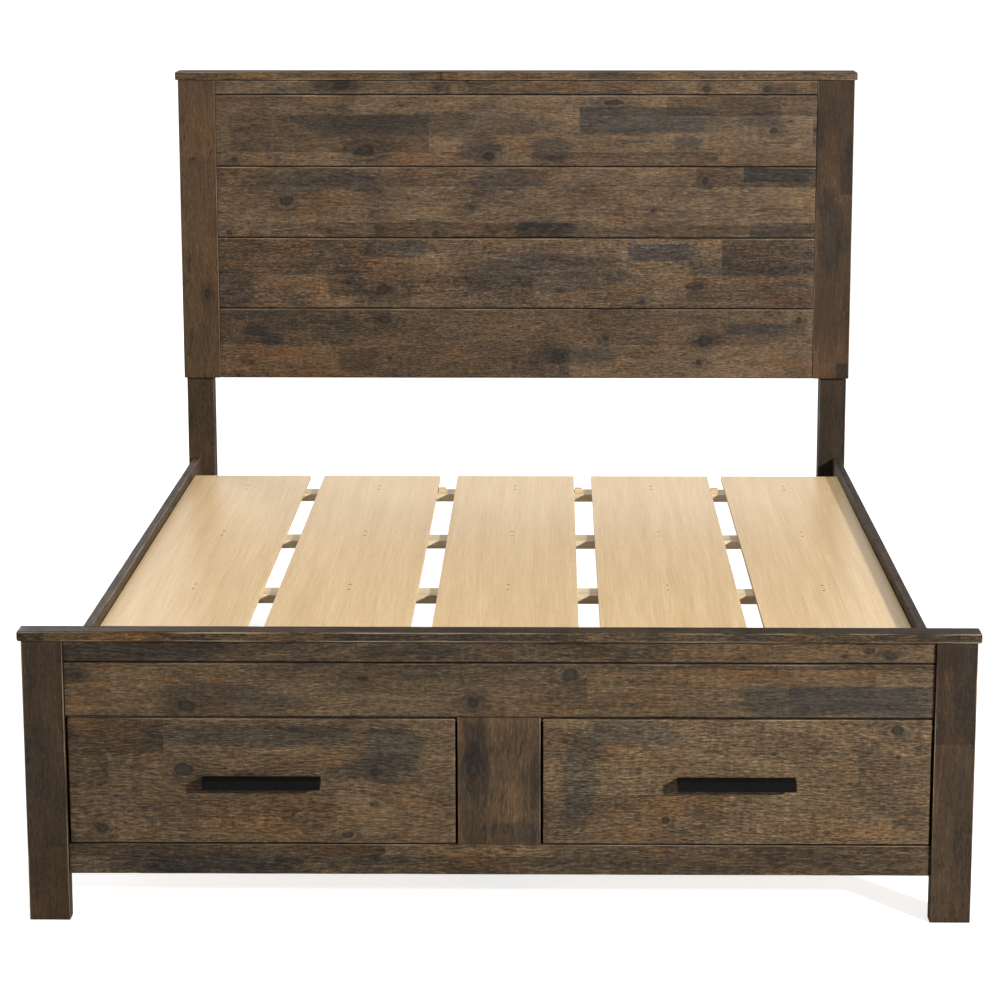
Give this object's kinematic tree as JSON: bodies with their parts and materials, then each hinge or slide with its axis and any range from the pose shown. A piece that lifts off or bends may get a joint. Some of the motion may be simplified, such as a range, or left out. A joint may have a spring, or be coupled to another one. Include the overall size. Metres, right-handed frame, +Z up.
{
  "type": "storage bed frame",
  "caption": "Queen-size rustic wood bed frame with a plank headboard, a footboard with drawers and a low slatted deck.",
  "frame": {"origin": "on the floor, under the middle of the bed's bounding box", "axes": "+Z up, +Y from the foot towards the headboard, +X to the right seen from the foot"},
  "size_m": [1.657, 2.193, 1.352],
  "materials": {
    "rustic_wood": "wire-brushed, dark smoky brown stain, matt",
    "deck_veneer": "pale tan wood-grain veneer, satin",
    "pine": "planed unfinished pine",
    "drawer_plywood": "clear-sealed plywood",
    "black_metal": "matt black powder coat",
    "zinc_steel": "zinc plated",
    "foot_plastic": "black moulded plastic"
  },
  "bodies": {
    "frame": {"batten_1": "pine", "batten_2": "pine", "batten_3": "pine", "batten_4": "pine", "batten_5": "pine", "bracket_screws": "zinc_steel", "case_back": "drawer_plywood", "case_dividers": "drawer_plywood", "case_side_left": "drawer_plywood", "case_side_right": "drawer_plywood", "corner_brackets": "zinc_steel", "deck_board_1": "deck_veneer", "deck_board_2": "deck_veneer", "deck_board_3": "deck_veneer", "deck_board_4": "deck_veneer", "deck_board_5": "deck_veneer", "deck_screws": "zinc_steel", "footboard_bottom_rail": "rustic_wood", "footboard_cap": "rustic_wood", "footboard_centre_stile": "rustic_wood", "footboard_panel": "rustic_wood", "footboard_post_left": "rustic_wood", "footboard_post_right": "rustic_wood", "footboard_top_rail": "rustic_wood", "headboard_back_braces": "rustic_wood", "headboard_cap": "rustic_wood", "headboard_leg_left": "rustic_wood", "headboard_leg_right": "rustic_wood", "headboard_plank_1": "rustic_wood", "headboard_plank_2": "rustic_wood", "headboard_plank_3": "rustic_wood", "headboard_plank_4": "rustic_wood", "headboard_stile_left": "rustic_wood", "headboard_stile_right": "rustic_wood", "headboard_top_rail": "rustic_wood", "levelling_feet": "foot_plastic", "locating_blocks": "pine", "rail_cleats": "pine", "side_rail_left": "rustic_wood", "side_rail_right": "rustic_wood", "slide_cabinet_members": "zinc_steel", "support_legs": "pine"},
    "left_drawer": {"left_drawer_back": "drawer_plywood", "left_drawer_bottom": "drawer_plywood", "left_drawer_front": "rustic_wood", "left_drawer_handle": "black_metal", "left_drawer_side_inner": "drawer_plywood", "left_drawer_side_outer": "drawer_plywood", "left_handle_screws": "zinc_steel", "left_slide_drawer_members": "zinc_steel"},
    "right_drawer": {"right_drawer_back": "drawer_plywood", "right_drawer_bottom": "drawer_plywood", "right_drawer_front": "rustic_wood", "right_drawer_handle": "black_metal", "right_drawer_side_inner": "drawer_plywood", "right_drawer_side_outer": "drawer_plywood", "right_handle_screws": "zinc_steel", "right_slide_drawer_members": "zinc_steel"},
    "left_slide_middles": {"left_slide_middle_members": "zinc_steel"},
    "right_slide_middles": {"right_slide_middle_members": "zinc_steel"}
  },
  "joints": [
    {"name": "left_drawer_slide", "type": "slide", "parent": "frame", "child": "left_drawer", "axis": [0, -1, 0], "range_m": [0, 0.38]},
    {"name": "right_drawer_slide", "type": "slide", "parent": "frame", "child": "right_drawer", "axis": [0, -1, 0], "range_m": [0, 0.38]},
    {"name": "left_middle_slide", "type": "slide", "parent": "frame", "child": "left_slide_middles", "axis": [0, -1, 0], "range_m": [0, 0.19]},
    {"name": "right_middle_slide", "type": "slide", "parent": "frame", "child": "right_slide_middles", "axis": [0, -1, 0], "range_m": [0, 0.19]}
  ],
  "couplings": [
    {"joint": "left_middle_slide", "follows": "left_drawer_slide", "ratio": 0.5},
    {"joint": "right_middle_slide", "follows": "right_drawer_slide", "ratio": 0.5}
  ]
}
